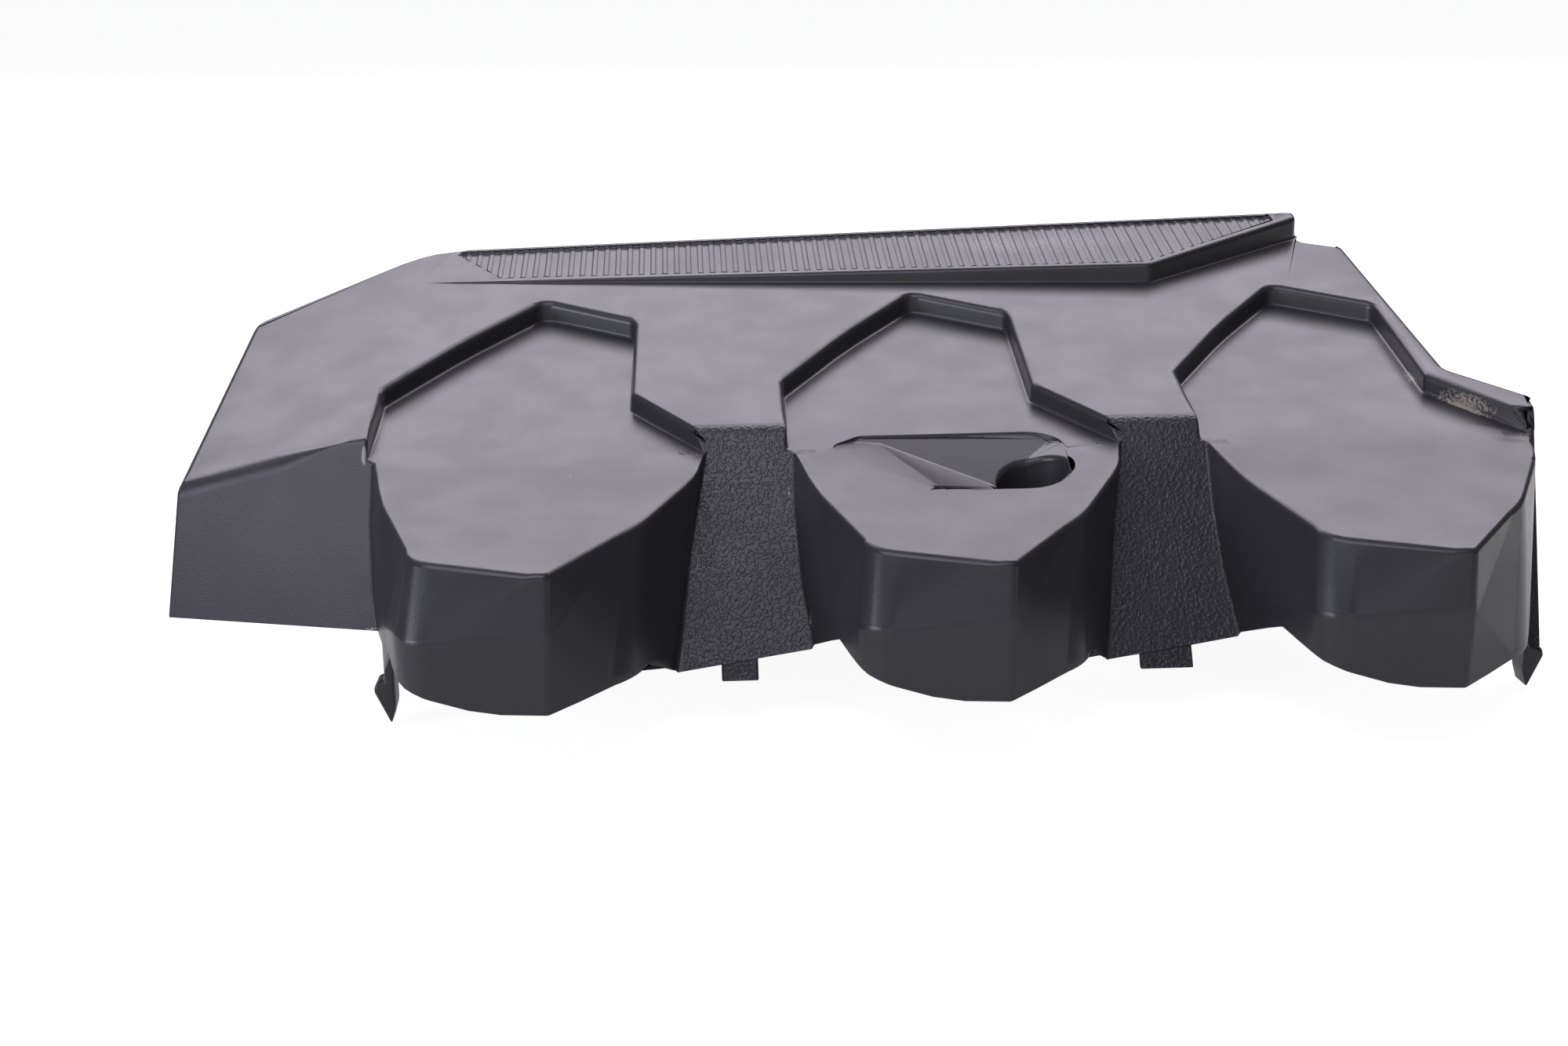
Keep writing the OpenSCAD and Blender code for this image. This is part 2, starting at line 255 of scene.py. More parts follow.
@dataclass(frozen=True)
class Mark:
    """One small mark of use, as a patch that fades at its edge; one of them is a painted highlight.

    Attributes:
        what: What it is.
        tone: Its colour.
        place: Its centre, in millimetres.
        reach: Half of its size each way, in millimetres.
        turn: Its turn about the upright axis, in degrees.
        strength: How much of its colour shows.
        broken: Share of it that is broken up into grains.
        grain_size: Size of those grains, in metres.
        grain_detail: How many finer layers the grains have.
        grain_step: Where the grains' pattern goes from clear to covered.
        core: Share of the reach within which the full strength shows.
    """

    what: str
    tone: Tone
    place: tuple[float, float, float]
    reach: tuple[float, float, float]
    turn: float = 0.0
    strength: float = 0.8
    broken: float = 0.0
    grain_size: ClassVar[float] = 0.9 * MM
    grain_detail: ClassVar[float] = 3.0
    grain_step: ClassVar[tuple[float, float]] = (0.42, 0.58)
    core: ClassVar[float] = 0.55

    def mask(self, graph: Graph, point: bpy.types.NodeSocket) -> bpy.types.NodeSocket:
        """How much of the mark shows at a point.

        Args:
            graph: The material's nodes.
            point: The point.

        Returns:
            A number from 0 to 1.
        """
        local = graph.local(point, self.place, self.reach, self.turn)
        away = graph.length(local)
        if self.broken:
            grains = graph.noise(point, self.grain_size, self.grain_detail)
            away = graph.math("ADD", away, graph.ramp(grains, *self.grain_step, 0.0, self.broken))
        return graph.ramp(away, self.core, 1.0, self.strength, 0.0)


# Marks of use on the plastic, and one painted highlight, the first of them
MARKS = (
    # Painted highlight: the pale capsule stands for the glint on a small bead of flash beside the first
    # bucket; the bead has no shape of its own
    Mark("painted highlight on the bead of flash beside the first bucket", Tone.PALE, (-39.0, -130.6, -10.2), (0.9, 3.2, 4.2)),
    Mark("worn end of the flank's edge", Tone.PALE,
         (-32.6, -160.5, -54.9), (0.5, 2.0, 2.8), 0.0, 0.7, 0.5),
    Mark("scuffed lower corner of the flank", Tone.PALE,
         (-35.6, -161.9, -56.7), (2.6, 0.9, 0.7), 0.0, 0.6, 0.6),
    Mark("nick in the first panel's edge", Tone.PALE,
         (91.9, -139.5, -23.3), (0.5, 2.4, 3.2), 0.0, 0.6, 0.6),
    Mark("worn foot of the first panel's edge", Tone.PALE,
         (97.0, -162.5, -57.6), (0.6, 3.4, 5.0), 0.0, 0.6, 0.5),
    Mark("smudge over the first tab", Tone.DARK, (69.0, -168.8, -67.0), (4.2, 1.6, 1.8), 0.0, 0.8, 0.5),
    Mark("nicks in the deck's front edge", Tone.DARK,
         (67.4, -119.2, -3.2), (5.0, 1.3, 2.0), -35.0, 0.7, 0.9),
    Mark("nick in the deck's front edge", Tone.DARK, (87.1, -118.4, -3.0), (0.9, 0.7, 1.0), 0.0, 0.7),
    Mark("speck on the first floor", Tone.PALE, (25.1, -145.9, -15.0), (0.45, 0.6, 0.6)),
    Mark("speck on the first floor", Tone.PALE, (0.7, -193.9, -25.1), (0.4, 0.6, 0.6)),
    Mark("speck on the first floor", Tone.PALE, (5.8, -200.3, -26.5), (0.4, 0.6, 0.6)),
    Mark("dark speck on the first floor", Tone.DARK, (31.9, -135.9, -12.9), (0.5, 0.7, 0.7)),
    Mark("spot on the deck", Tone.TAN, (166.4, -54.2, 11.9), (1.2, 1.6, 2.0), 0.0, 0.7, 0.3),
    Mark("grit beside the third floor's wall", Tone.SAND,
         (302.4, -87.5, -2.8), (1.8, 8.0, 3.0), 0.0, 0.7, 0.7),
    Mark("line of grit along the third floor's wall", Tone.SAND,
         (312.0, -112.0, -7.9), (15.0, 0.9, 8.0), -53.8, 0.8, 0.4),
    Mark("grit at the third floor's end", Tone.TAN,
         (315.2, -114.0, -6.0), (1.7, 2.0, 2.2), 0.0, 0.6, 0.5),
    Mark("grit at the third floor's end", Tone.TAN,
         (319.6, -120.4, -7.6), (1.7, 2.4, 2.4), 0.0, 0.6, 0.5),
    Mark("scuffs across the strip's ribs", Tone.PALE,
         (196.0, 11.0, 31.0), (42.0, 13.0, 6.0), 0.0, 0.2, 0.7),
    Mark("mould scar in the finger scoop", Tone.PALE,
         (152.5, -138.6, -17.0), (1.5, 1.1, 2.5), 0.0, 0.35, 0.3),
)


@dataclass(frozen=True)
class MouldedPlastic:
    """Satin charcoal plastic with a fine grain, as it comes out of the mould.

    Attributes:
        name: Name of the material.
        base: Colour of the plastic.
        worn: Colour where handling has polished or dusted it.
        roughness: Least roughness of the surface.
        roughness_spread: How much rougher it is in places.
        grain_size: Size of the grain, in metres.
        grain_depth: Height of the grain, in metres.
        pebble_size: Size of the pebbles on the panels, in metres.
        pebble_depth: Height of the pebbles, in metres.
        cloud_size: Size of the clouds of worn colour, in metres.
        cloud_detail: How many finer layers the clouds have.
        cloud_step: Where the clouds' pattern goes from new to worn.
        patch_size: Size of the rougher patches, in metres.
        patch_detail: How many finer layers the patches have.
        patch_step: Where the patches' pattern goes from smooth to rough.
        pebble_detail: How many finer layers the pebbles have.
        pebble_step: Where the pebbles' pattern goes from low to high.
        panel_edge: Distances off the panels' plane over which the pebbles fade out.
        side_fade: Width over which they fade at a panel's right side.
        left_fade: Width over which they fade in, rightward from the origin.
    """

    name: str
    base: tuple[float, float, float]
    worn: tuple[float, float, float]
    roughness: float
    roughness_spread: float
    grain_size: float
    grain_depth: float
    pebble_size: float
    pebble_depth: float
    cloud_size: float = 45 * MM
    cloud_detail: float = 3.0
    cloud_step: tuple[float, float] = (0.35, 0.75)
    patch_size: float = 18 * MM
    patch_detail: float = 4.0
    patch_step: tuple[float, float] = (0.3, 0.7)
    pebble_detail: float = 1.0
    pebble_step: tuple[float, float] = (0.42, 0.62)
    panel_edge: tuple[float, float] = (0.6 * MM, 1.4 * MM)
    side_fade: float = 1 * MM
    left_fade: float = 10 * MM

    def pebbled(self, graph: Graph, place: bpy.types.NodeSocket) -> bpy.types.NodeSocket:
        """Where the pebbles lie: on the leaning panels, and not at the left end of the cover.

        Args:
            graph: The material's nodes.
            place: The point on the piece.

        Returns:
            A number from 0 to 1.
        """
        away = graph.tree.nodes.new("ShaderNodeVectorMath")
        away.operation = "DOT_PRODUCT"
        graph.feed(away.inputs[0], place)
        away.inputs[1].default_value = PANEL_NORMAL
        off_plane = graph.math("ABSOLUTE", graph.math("SUBTRACT", away.outputs["Value"], PANEL_OFFSET))
        split = graph.tree.nodes.new("ShaderNodeSeparateXYZ")
        graph.feed(split.inputs["Vector"], place)
        local = graph.math("MODULO", graph.math("ADD", split.outputs["X"], PANEL_SHIFT), PITCH)
        within = graph.ramp(local, PANEL_WIDTH, PANEL_WIDTH + self.side_fade, 1.0, 0.0)
        beside = graph.math("MULTIPLY", within, graph.ramp(split.outputs["X"], 0.0, self.left_fade))
        return graph.math("MULTIPLY", graph.ramp(off_plane, *self.panel_edge, 1.0, 0.0), beside)

    def build(self) -> bpy.types.Material:
        """Makes the material.

        Returns:
            The finished material.
        """
        material = bpy.data.materials.new(self.name)
        material.use_nodes = True
        graph = Graph(material.node_tree)
        shader = material.node_tree.nodes["Principled BSDF"]
        place = graph.place()
        cloud = graph.noise(place, self.cloud_size, self.cloud_detail)
        colour = graph.blend(graph.ramp(cloud, *self.cloud_step), (*self.base, 1.0), (*self.worn, 1.0))
        # The marks are real wear and dirt, and one painted highlight on the bead beside the first bucket
        for mark in MARKS:
            colour = graph.blend(mark.mask(graph, place), colour, mark.tone.value)
        graph.feed(shader.inputs["Base Color"], colour)
        patches = graph.noise(place, self.patch_size, self.patch_detail)
        roughest = self.roughness + self.roughness_spread
        graph.feed(shader.inputs["Roughness"],
                   graph.ramp(patches, *self.patch_step, self.roughness, roughest))
        fine = graph.bump(graph.noise(place, self.grain_size), self.grain_depth)
        panels = self.pebbled(graph, place)
        pebbles = graph.ramp(graph.noise(place, self.pebble_size, self.pebble_detail), *self.pebble_step)
        relief = graph.bump(graph.math("MULTIPLY", pebbles, panels), self.pebble_depth, fine)
        graph.feed(shader.inputs["Normal"], relief)
        return material


@dataclass(frozen=True)
class EdgeRules:
    """Limits that tell the kinds of edge apart.

    Angles are in degrees. The other numbers are parts of a unit vector, unless they are lengths.

    Attributes:
        top: Least upward part of a top face's normal.
        wall: Most upward part of a wall's normal.
        panel: Least upward part of the normal of a panel below a fold.
        underside: Upward part of a normal below which a face belongs to the underside.
        sharp: Angle from which most edges are rounded.
        trim: Angle from which an edge of the underside is rounded.
        fold: Angle from which the fold at the left panel is rounded.
        scoop: Angle from which an edge in the finger scoop is rounded.
        crease: Angle from which a line across a bucket's front is rounded.
        lengthwise: Least part along X of an edge that runs along the cover.
        ending: Most part along X of an edge that ends a recess.
        ending_rise: Most upward part of an edge that ends a recess.
        level: Most upward part of a line across a bucket's front.
        fold_reach: How far in front of the fold line a fold may lie.
        gentle: Angle below which a bend of the top is taken out for the rounding.
        droop_skew: Most part along X of a bend at the cover's left end.
        droop_start: Where the cover's left end starts.
        dip_straight: Least part along X of a bend at the fold line.
        dip_reach: How far from the fold line such a bend may lie.
        strip_front: Most part along Y of the normal of the strip's front wall.
        strip_lean: Most upward part of that normal.
    """

    top: float = 0.85
    wall: float = 0.6
    panel: float = 0.2
    underside: float = -0.5
    sharp: float = 28.0
    trim: float = 40.0
    fold: float = 18.0
    scoop: float = 8.0
    crease: float = 2.0
    lengthwise: float = 0.9
    ending: float = 0.7
    ending_rise: float = 0.95
    level: float = 0.55
    fold_reach: float = 4 * MM
    gentle: float = 4.0
    droop_skew: float = 0.02
    droop_start: float = -25 * MM
    dip_straight: float = 0.9995
    dip_reach: float = 12 * MM
    strip_front: float = -0.9
    strip_lean: float = 0.2


@dataclass
class CoverShell:
    """The one moulded shell, with its edges rounded.

    Attributes:
        node: Name of the solid that it stands for.
        rules: Limits that tell the kinds of edge apart.
        merge: Distance within which corners are merged.
        flat: Angle in degrees below which two faces are joined into one.
        weld: Length below which an edge is closed up before the rounding.
        radius: Width of the rounding for each kind of edge.
        room_share: Most of a neighbouring face's depth that a rounding may take.
        segments: Number of faces across a rounding.
        lobes: Number of recesses, each with its bucket.
        pitch: Distance between two buckets.
        fold_line: Depth of the line where the deck folds down, at the level of the lobe floors.
        strip_line: Depth from which an upper edge belongs to the rear strip.
        junctions: Ends of a recess at the panels, for the left lobe.
        junction_reach: How far round such an end the corners are gathered into one.
        taper: Distances from such an end over which a rounding grows to its full width.
        taper_steps: Number of lengths in which it grows.
        thinnest: Share of the full width that a rounding has at such an end.
        fold_end: Where the rounding of the left panel's fold ends.
        last_end: Where the last recess end with a fold beside it lies, at most.
        strip_cuts: Places along X, in millimetres, where the strip's front wall is cut.
        seams: Lines that split the large flat faces, each by its axis, 0 or 1, and its place.
        cut_reach: Distance from a cut within which a corner counts as lying on it.
        large_face: Area from which a flat face is split by the seams.
        largest_gap: Length up to which a straight run of edge is joined to the next.
        normal_weight: How far the large faces lead the smooth shading, where 50 is not at all.
        window_box: Lowest and highest corner of the end window's surroundings.
        scoop_box: Left front and right rear corner of the finger scoop's surroundings.
        materials: The material of the shell, as a list of one.
    """

    node: str = "engine_cover"
    rules: EdgeRules = EdgeRules()
    merge: float = 0.01 * MM
    flat: float = 0.6
    weld: float = 0.35 * MM
    radius: dict[Edge, float] = field(default_factory=lambda: {
        Edge.RIM: 2.2 * MM,
        Edge.CREST: 1.6 * MM,
        Edge.FOLD: 4.5 * MM,
        Edge.LIP: 1.8 * MM,
        Edge.FILLET: 1.0 * MM,
        Edge.CREASE: 1.2 * MM,
        Edge.CORNER: 0.9 * MM,
        Edge.SCOOP: 0.6 * MM,
        Edge.TRIM: 0.35 * MM,
    })
    room_share: float = 0.42
    segments: int = 3
    lobes: int = 3
    pitch: float = PITCH
    fold_line: float = -132.5 * MM
    strip_line: float = -19 * MM
    junctions: tuple[Vector, ...] = (
        Vector((-37.96, -131.5, -11.6)) * MM,
        Vector((66.35, -131.6, -11.8)) * MM,
    )
    junction_reach: float = 1.0 * MM
    taper: tuple[float, float] = (9 * MM, 25 * MM)
    taper_steps: int = 4
    thinnest: float = 0.5
    fold_end: float = -49.0 * MM
    last_end: float = 320.0 * MM
    strip_cuts: range = range(-20, 230, 12)
    seams: tuple[tuple[int, float], ...] = (
        *((0, place * MM) for place in (-10, 20, 45, 79, 120, 150, 175)),
        *((0, place * MM) for place in (209, 250, 280, 300.5, 307.5, 313, 320)),
        *((1, place * MM) for place in (-110, -97.5, -70, -35, -16.5)),
    )
    cut_reach: float = 0.02 * MM
    large_face: float = 150 * MM * MM
    largest_gap: float = 3.0 * MM
    normal_weight: int = 100
    window_box: tuple[Vector, Vector] = (Vector((321, -133.5, -15)) * MM, Vector((340, -122, -3.5)) * MM)
    scoop_box: tuple[tuple[float, float], tuple[float, float]] = (
        (98 * MM, -168 * MM),
        (185 * MM, -116 * MM),
    )
    materials: list[bpy.types.Material] = field(default_factory=list)

    def kind(self, edge: bmesh.types.BMEdge) -> Edge | None:
        """Tells which kind of edge this is.

        Args:
            edge: An edge with two faces.

        Returns:
            Its kind, or nothing if it stays as it is.
        """
        low, high = sorted(face.normal.z for face in edge.link_faces)
        angle = math.degrees(edge.calc_face_angle(0.0))
        along = (edge.verts[0].co - edge.verts[1].co).normalized()
        middle = (edge.verts[0].co + edge.verts[1].co) / 2
        rules = self.rules
        if low < rules.underside:
            return Edge.TRIM if angle > rules.trim else None
        at_fold = middle.y > self.fold_line - rules.fold_reach
        along_fold = abs(along.x) > rules.lengthwise and edge.is_convex and low > rules.panel and at_fold
        if along_fold and angle > rules.fold and middle.x < self.fold_end:
            return Edge.FOLD
        if high > rules.top and low < rules.wall and angle > rules.sharp:
            if not edge.is_convex:
                return Edge.FILLET
            if middle.y < self.fold_line:
                return Edge.CREST
            return Edge.LIP if middle.y > self.strip_line else Edge.RIM
        if high > rules.top and angle > rules.scoop and self.in_scoop(middle):
            return Edge.SCOOP
        ending = edge.is_convex and abs(along.x) < rules.ending and abs(along.z) < rules.ending_rise
        inner = middle.x < self.last_end
        if ending and angle > rules.sharp and inner and self.near_junction(middle, self.taper[0]):
            return Edge.RIM
        in_front = high < rules.wall and middle.y < self.fold_line
        if in_front and abs(along.z) < rules.level and rules.crease < angle < rules.sharp:
            return Edge.CREASE
        return Edge.CORNER if angle > rules.sharp and not along_fold else None

    def in_scoop(self, point: Vector) -> bool:
        """Whether a point lies in the finger scoop."""
        low, high = self.scoop_box
        return low[0] < point.x < high[0] and low[1] < point.y < high[1]

    def at_window(self, point: Vector) -> bool:
        """Whether a point lies round the small window in the deck's right end."""
        low, high = self.window_box
        return all(low[axis] < point[axis] < high[axis] for axis in range(3))

    def near_junction(self, point: Vector, reach: float) -> Vector | None:
        """Looks for the end of a recess close to a point.

        Args:
            point: The point.
            reach: How far away the end may be.

        Returns:
            The end's place, or nothing.
        """
        for junction in self.junctions:
            for lobe in range(self.lobes):
                place = junction + Vector((lobe * self.pitch, 0, 0))
                if (point - place).length < reach:
                    return place
        return None

    def end_share(self, point: Vector) -> float:
        """How much of the full width a rounding has at a point, less near the end of a recess.

        Args:
            point: The point.

        Returns:
            A share of the full width.
        """
        near, far = self.taper
        place = self.near_junction(point, far)
        if place is None:
            return 1.0
        away = max((point - place).length - near, 0.0) / (far - near)
        return self.thinnest + (1 - self.thinnest) * away

    def split_ends(self, form: bmesh.types.BMesh) -> None:
        """Splits the long edges towards the ends of the recesses, so that their rounding can taper.

        Args:
            form: The shell's mesh.
        """
        near, far = self.taper
        step = (far - near) / self.taper_steps
        for edge in list(form.edges):
            if edge.calc_length() < far - near or len(edge.link_faces) != 2:
                continue
            kind = self.kind(edge)
            if kind not in (Edge.RIM, Edge.FILLET, Edge.CREST, Edge.FOLD):
                continue
            ends = [corner for corner in edge.verts if self.near_junction(corner.co, near + MM)]
            if kind is Edge.FOLD:
                ends = [max(edge.verts, key=lambda corner: corner.co.x)]
            if len(ends) != 1:
                continue
            corner = ends[0]
            for _ in range(self.taper_steps):
                edge, corner = bmesh.utils.edge_split(edge, corner, step / edge.calc_length())
                edge = next(other for other in corner.link_edges if other is not edge)

    def close_junctions(self, form: bmesh.types.BMesh) -> None:
        """Gathers the small corners at the ends of the recesses into one each.

        Args:
            form: The shell's mesh.
        """
        groups: dict[tuple[float, ...], list[bmesh.types.BMVert]] = {}
        for corner in form.verts:
            place = self.near_junction(corner.co, self.junction_reach)
            if place is not None and not self.at_window(corner.co):
                groups.setdefault(tuple(place), []).append(corner)
        for place, corners in groups.items():
            log.info("junction %s: %d corners", [round(value / MM, 1) for value in place], len(corners))
            bmesh.ops.pointmerge(form, verts=corners, merge_co=place)

    def drop_loose_corners(self, form: bmesh.types.BMesh) -> None:
        """Takes out corners that no longer turn anything and lie close to the next one.

        Args:
            form: The shell's mesh.
        """
        loose = [corner for corner in form.verts if len(corner.link_edges) == 2
                 and min(edge.calc_length() for edge in corner.link_edges) < self.largest_gap]
        bmesh.ops.dissolve_verts(form, verts=loose)

    def weights(self, form: bmesh.types.BMesh, largest: float) -> None:
        """Writes how wide each edge is rounded, as a share of the largest width.

        Args:
            form: The shell's mesh.
            largest: The width that a weight of 1 stands for.
        """
        layer = form.edges.layers.float.new("bevel_weight_edge")
        for edge in form.edges:
            kind = self.kind(edge) if len(edge.link_faces) == 2 else None
            middle = (edge.verts[0].co + edge.verts[1].co) / 2
            if kind is None or self.at_window(middle):
                continue
            if kind is Edge.CREASE:
                edge.smooth = False
            width = self.radius[kind]
            if kind in (Edge.RIM, Edge.FILLET, Edge.CREST):
                width *= self.end_share(middle)
            if kind is Edge.FOLD:
                width *= min((self.fold_end - middle.x) / (self.taper[1] - self.taper[0]), 1.0)
            room = min(face.calc_area() for face in edge.link_faces) / max(edge.calc_length(), self.merge)
            edge[layer] = min(width, self.room_share * room) / largest

    def bends(self, form: bmesh.types.BMesh) -> list[tuple[int, float]]:
        """Takes out the lines across the gentle bends of the top, which would get in the rounding's way.

        Args:
            form: The shell's mesh.

        Returns:
            Each line's axis, 0 or 1, and its place along that axis.
        """
        rules = self.rules
        lines: dict[tuple[int, int], float] = {}
        gone = []
        for edge in form.edges:
            if len(edge.link_faces) != 2 or min(face.normal.z for face in edge.link_faces) < rules.top:
                continue
            along = (edge.verts[0].co - edge.verts[1].co).normalized()
            middle = (edge.verts[0].co + edge.verts[1].co) / 2
            droops = abs(along.x) < rules.droop_skew and middle.x < rules.droop_start
            dips = abs(along.x) > rules.dip_straight and abs(middle.y - self.fold_line) < rules.dip_reach
            if edge.calc_face_angle(0.0) < math.radians(rules.gentle) and (droops or dips):
                axis = 0 if droops else 1
                lines[axis, round(middle[axis] / MM)] = middle[axis]
                gone.append(edge)
        bmesh.ops.dissolve_edges(form, edges=gone, use_verts=False, use_face_split=False)
        self.drop_loose_corners(form)
        return [(axis, place) for (axis, _), place in lines.items()]

    def cut(self, form: bmesh.types.BMesh, faces: list[bmesh.types.BMFace], axis: int,
            place: float) -> None:
        """Cuts some faces along a plane across one axis.

        Args:
            form: The shell's mesh.
            faces: The faces that are cut.
            axis: 0 for X or 1 for Y.
            place: Where the plane crosses that axis.
        """
        geometry = set(faces)
        geometry.update(edge for face in faces for edge in face.edges)
        geometry.update(corner for face in faces for corner in face.verts)
        point = Vector((0, 0, 0))
        point[axis] = place
        normal = Vector((0, 0, 0))
        normal[axis] = 1
        bmesh.ops.bisect_plane(form, geom=list(geometry), dist=self.cut_reach, plane_co=point,
                               plane_no=normal)

    def strip_walls(self, form: bmesh.types.BMesh) -> list[bmesh.types.BMFace]:
        """Finds the front wall of the rear strip.

        Args:
            form: The shell's mesh.

        Returns:
            The faces of that wall.
        """
        rules = self.rules
        fronts = [face for face in form.faces
                  if face.normal.y < rules.strip_front and abs(face.normal.z) < rules.strip_lean]
        middles = [face.calc_center_median() for face in fronts]
        return [face for face, middle in zip(fronts, middles)
                if middle.y > self.strip_line and middle.z > 0]

    def taper_strip(self, form: bmesh.types.BMesh) -> None:
        """Cuts the strip's front wall into short lengths, so that its rounding grows with its height.

        Args:
            form: The shell's mesh.
        """
        for place in self.strip_cuts:
            self.cut(form, self.strip_walls(form), 0, place * MM)

    def tops(self, form: bmesh.types.BMesh) -> list[bmesh.types.BMFace]:
        """Finds the top faces, which look upward."""
        return [face for face in form.faces if face.normal.z > self.rules.top]

    def large_tops(self, form: bmesh.types.BMesh) -> list[bmesh.types.BMFace]:
        """Finds the large top faces outside the finger scoop.

        Args:
            form: The shell's mesh.

        Returns:
            Those faces.
        """
        return [face for face in self.tops(form)
                if face.calc_area() > self.large_face and not self.in_scoop(face.calc_center_bounds())]

    def build(self, nodes: dict[str, bpy.types.Object]) -> bpy.types.Object:
        """Copies the solid's surface and rounds its edges.

        Args:
            nodes: The frame's nodes.

        Returns:
            The finished shell.
        """
        mesh = nodes[self.node].data.copy()
        mesh.name = "cover_shell"
        mesh.materials.clear()
        shell = bpy.data.objects.new("cover_shell", mesh)
        bpy.context.scene.collection.objects.link(shell)
        form = bmesh.new()
        form.from_mesh(mesh)
        bmesh.ops.remove_doubles(form, verts=form.verts, dist=self.merge)
        bmesh.ops.dissolve_limit(form, angle_limit=math.radians(self.flat), use_dissolve_boundaries=False,
                                 verts=form.verts, edges=form.edges, delimit={"NORMAL"})
        bmesh.ops.remove_doubles(form, verts=form.verts, dist=self.weld)
        self.close_junctions(form)
        lines = self.bends(form)
        self.taper_strip(form)
        self.split_ends(form)
        for face in form.faces:
            face.smooth = True
        largest = max(self.radius.values())
        self.weights(form, largest)
        form.to_mesh(mesh)
        bevel = shell.modifiers.new("rounding", "BEVEL")
        bevel.limit_method = "WEIGHT"
        bevel.width = largest
        bevel.segments = self.segments
        bevel.profile = 0.5
        bevel.use_clamp_overlap = False
        rounded = shell.evaluated_get(bpy.context.evaluated_depsgraph_get())
        form.clear()
        form.from_mesh(rounded.to_mesh())
        rounded.to_mesh_clear()
        shell.modifiers.remove(bevel)
        for axis, place in lines:
            self.cut(form, self.tops(form), axis, place)
        for axis, place in self.seams:
            self.cut(form, self.large_tops(form), axis, place)
        form.to_mesh(mesh)
        form.free()
        log.info("shell: %d corners, %d faces", len(mesh.vertices), len(mesh.polygons))
        normals = shell.modifiers.new("weighted", "WEIGHTED_NORMAL")
        normals.keep_sharp = True
        normals.weight = self.normal_weight
        for material in self.materials:
            mesh.materials.append(material)
        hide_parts(self.node)
        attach(shell, "root")
        return shell


@dataclass(frozen=True)
class Lamp:
    """One softbox.

    Attributes:
        name: Name of the lamp.
        place: Its centre.
        target: The point that it faces.
        size: Its width and height.
        radiance: Its brightness, where 1 is white.
        tint: Its colour.
    """

    name: str
    place: tuple[float, float, float]
    target: tuple[float, float, float]
    size: tuple[float, float]
    radiance: float
    tint: tuple[float, float, float]


# The tops mirror the first softbox, the flank faces the second, the panels mirror the third,
# and the last one lifts the buckets' fronts a little
LAMPS = (
    Lamp("rear_softbox", (0.3, 1.5, 1.8), (0.1, 0.0, 0.0), (3.4, 1.6), 3.45, (1.0, 0.955, 1.07)),
    Lamp("left_softbox", (-1.9, -1.2, 0.55), (0.0, -0.15, 0.0), (1.2, 0.9), 6.0, (0.9, 0.92, 1.05)),
    Lamp("front_softbox", (-0.28, -0.82, 1.35), (0.05, -0.15, 0.0), (1.4, 0.75), 3.0, (0.95, 0.93, 1.12)),
    Lamp("front_fill", (-0.1, -2.2, 0.5), (0.1, -0.2, 0.0), (2.4, 0.7), 0.85, (0.98, 0.96, 1.06)),
)


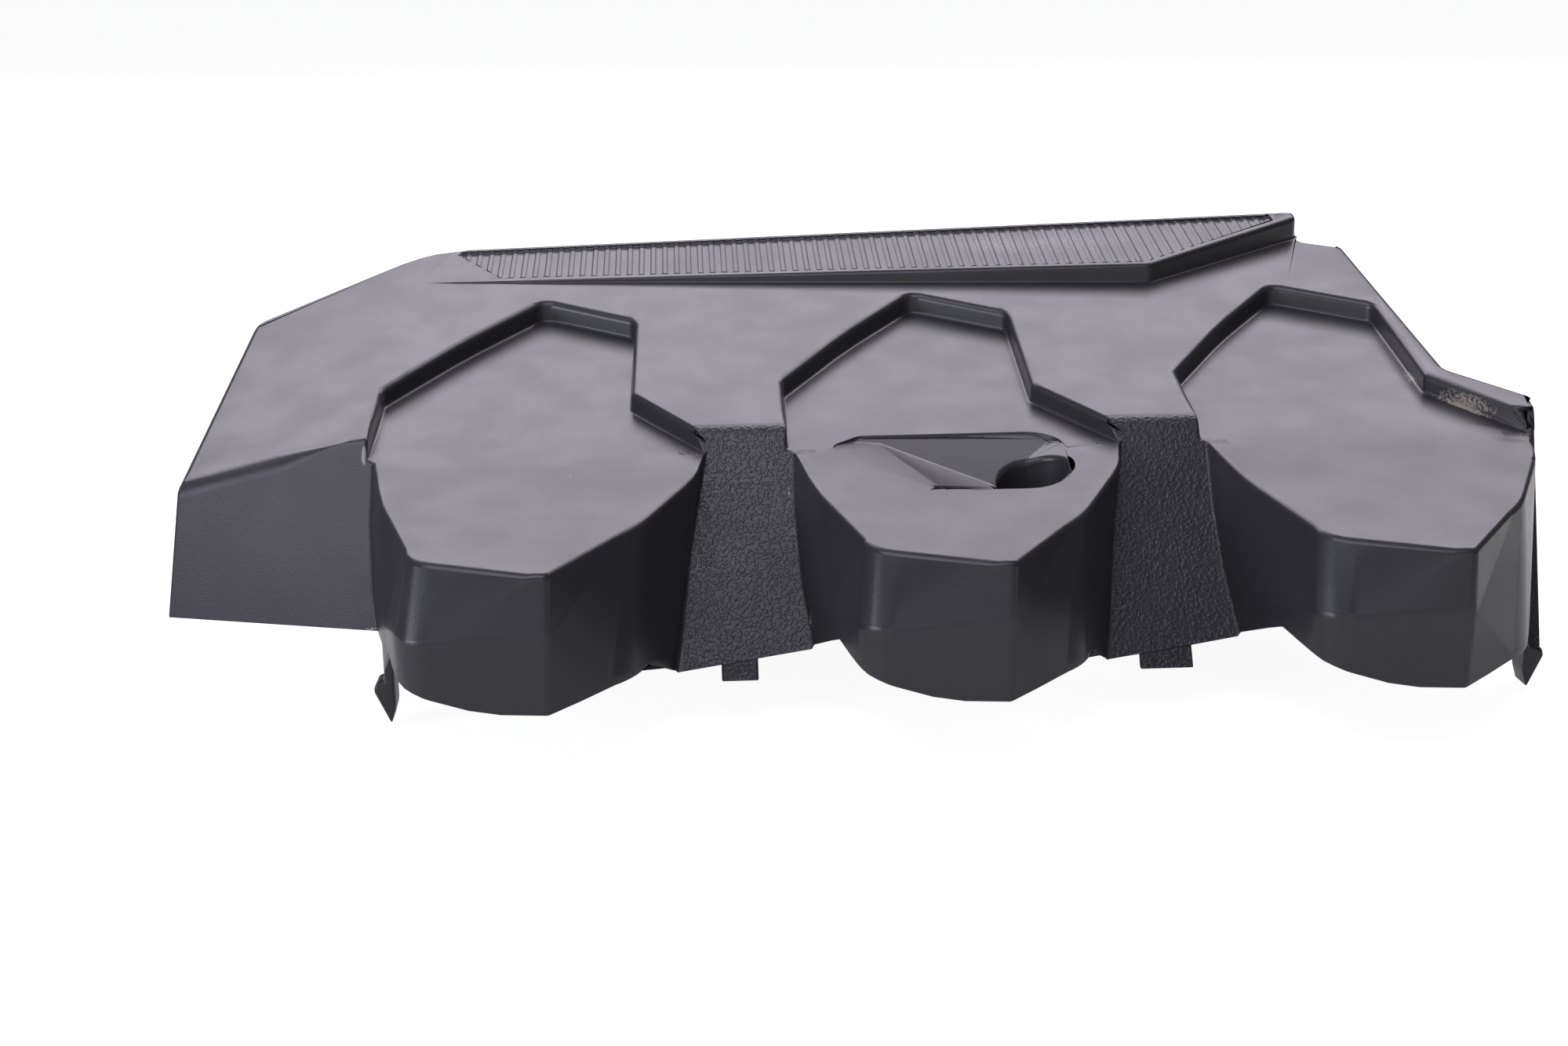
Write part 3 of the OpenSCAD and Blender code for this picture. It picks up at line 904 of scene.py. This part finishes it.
@dataclass
class Studio:
    """A plain pale floor, soft lamps and the camera.

    Attributes:
        floor_height: Height of the floor.
        camera_place: Place of the camera.
        camera_right: The camera's own X axis.
        camera_up: The camera's own Y axis.
        lens: Focal length in millimetres.
        sensor: Width of the sensor in millimetres.
        near_clip: Distance from the camera at which things start to show.
        room_glow: Light that comes from all round.
        floor_half: Half of the floor's width.
        floor_white: Glow of the floor to the camera, which keeps it white.
        floor_colour: Colour of the floor.
        floor_roughness: Roughness of the floor.
        floor_mirrored: Glow of the floor where the plastic mirrors it, in front and behind.
        floor_change: Places along Y between which that glow goes from the first to the second.
    """

    floor_height: float
    camera_place: Vector = field(default_factory=lambda: Vector((0.06039, -0.79176, 0.14173)))
    camera_right: Vector = field(default_factory=lambda: Vector((0.99867, -0.04954, -0.01440)))
    camera_up: Vector = field(default_factory=lambda: Vector((0.02670, 0.25759, 0.96589)))
    lens: float = 50.0
    sensor: float = 36.0
    near_clip: float = 0.01
    room_glow: tuple[float, float, float] = (0.07, 0.07, 0.076)
    floor_half: float = 30.0
    floor_white: float = 0.93
    floor_colour: tuple[float, float, float] = (0.36, 0.36, 0.36)
    floor_roughness: float = 0.9
    floor_mirrored: tuple[float, float] = (0.36, 0.85)
    floor_change: tuple[float, float] = (-0.3, 0.3)

    def camera(self) -> None:
        """Places the camera at the photograph's viewing angle."""
        data = bpy.data.cameras.new("camera")
        data.lens = self.lens
        data.sensor_width = self.sensor
        data.clip_start = self.near_clip
        holder = bpy.data.objects.new("camera", data)
        bpy.context.scene.collection.objects.link(holder)
        right = self.camera_right.normalized()
        back = right.cross(self.camera_up).normalized()
        up = back.cross(right)
        turn = Matrix((right, up, back)).transposed().to_4x4()
        holder.matrix_world = Matrix.Translation(self.camera_place) @ turn
        bpy.context.scene.camera = holder

    def lamp(self, lamp: Lamp) -> None:
        """Adds a softbox.

        Args:
            lamp: What the softbox is like.
        """
        data = bpy.data.lights.new(lamp.name, "AREA")
        data.shape = "RECTANGLE"
        data.size, data.size_y = lamp.size
        data.energy = lamp.radiance * math.pi * lamp.size[0] * lamp.size[1]
        data.color = lamp.tint
        holder = bpy.data.objects.new(lamp.name, data)
        bpy.context.scene.collection.objects.link(holder)
        holder.location = lamp.place
        facing = Vector(lamp.target) - Vector(lamp.place)
        holder.rotation_euler = facing.to_track_quat("-Z", "Y").to_euler()

    def world(self) -> None:
        """A pale room, white to the camera."""
        world = bpy.data.worlds.new("room")
        bpy.context.scene.world = world
        world.use_nodes = True
        tree = world.node_tree
        tree.nodes.clear()
        room = tree.nodes.new("ShaderNodeBackground")
        room.inputs["Color"].default_value = (*self.room_glow, 1.0)
        white = tree.nodes.new("ShaderNodeBackground")
        white.inputs["Color"].default_value = (1.0, 1.0, 1.0, 1.0)
        path = tree.nodes.new("ShaderNodeLightPath")
        mix = tree.nodes.new("ShaderNodeMixShader")
        out = tree.nodes.new("ShaderNodeOutputWorld")
        tree.links.new(path.outputs["Is Camera Ray"], mix.inputs[0])
        tree.links.new(room.outputs[0], mix.inputs[1])
        tree.links.new(white.outputs[0], mix.inputs[2])
        tree.links.new(mix.outputs[0], out.inputs["Surface"])

    def floor(self) -> None:
        """A large pale floor."""
        form = bmesh.new()
        bmesh.ops.create_grid(form, x_segments=1, y_segments=1, size=self.floor_half)
        bmesh.ops.translate(form, verts=form.verts, vec=(0.0, 0.0, self.floor_height))
        mesh = bpy.data.meshes.new("floor")
        form.to_mesh(mesh)
        form.free()
        floor = bpy.data.objects.new("floor", mesh)
        bpy.context.scene.collection.objects.link(floor)
        material = bpy.data.materials.new("pale_floor")
        material.use_nodes = True
        tree = material.node_tree
        shader = tree.nodes["Principled BSDF"]
        shader.inputs["Base Color"].default_value = (*self.floor_colour, 1.0)
        shader.inputs["Roughness"].default_value = self.floor_roughness
        glow = tree.nodes.new("ShaderNodeEmission")
        path = tree.nodes.new("ShaderNodeLightPath")
        graph = Graph(tree)
        seen = graph.math("MULTIPLY", path.outputs["Is Camera Ray"], self.floor_white)
        depth = tree.nodes.new("ShaderNodeSeparateXYZ")
        graph.feed(depth.inputs["Vector"], graph.place())
        mirrored = graph.math("MULTIPLY", path.outputs["Is Glossy Ray"],
                              graph.ramp(depth.outputs["Y"], *self.floor_change, *self.floor_mirrored))
        graph.feed(glow.inputs["Strength"], graph.math("MAXIMUM", seen, mirrored))
        add = tree.nodes.new("ShaderNodeAddShader")
        tree.links.new(shader.outputs[0], add.inputs[0])
        tree.links.new(glow.outputs[0], add.inputs[1])
        tree.links.new(add.outputs[0], tree.nodes["Material Output"].inputs["Surface"])
        mesh.materials.append(material)

    def build(self) -> None:
        """Sets up the floor, the lamps and the camera."""
        bpy.context.scene.view_settings.view_transform = "Standard"
        self.camera()
        self.world()
        self.floor()
        for lamp in LAMPS:
            self.lamp(lamp)


def main() -> None:
    """Builds the scene in order."""
    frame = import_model()
    plastic = MouldedPlastic(
        name="moulded_plastic",
        base=(0.031, 0.030, 0.034),
        worn=(0.038, 0.037, 0.041),
        roughness=0.29,
        roughness_spread=0.06,
        grain_size=0.7 * MM,
        grain_depth=0.03 * MM,
        pebble_size=1.1 * MM,
        pebble_depth=0.10 * MM,
    )
    low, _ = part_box("engine_cover")
    Studio(floor_height=low.z).build()
    shell = CoverShell(materials=[plastic.build()]).build(frame["nodes"])
    log.info("%s built", shell.name)


if __name__ == "__main__":
    main()
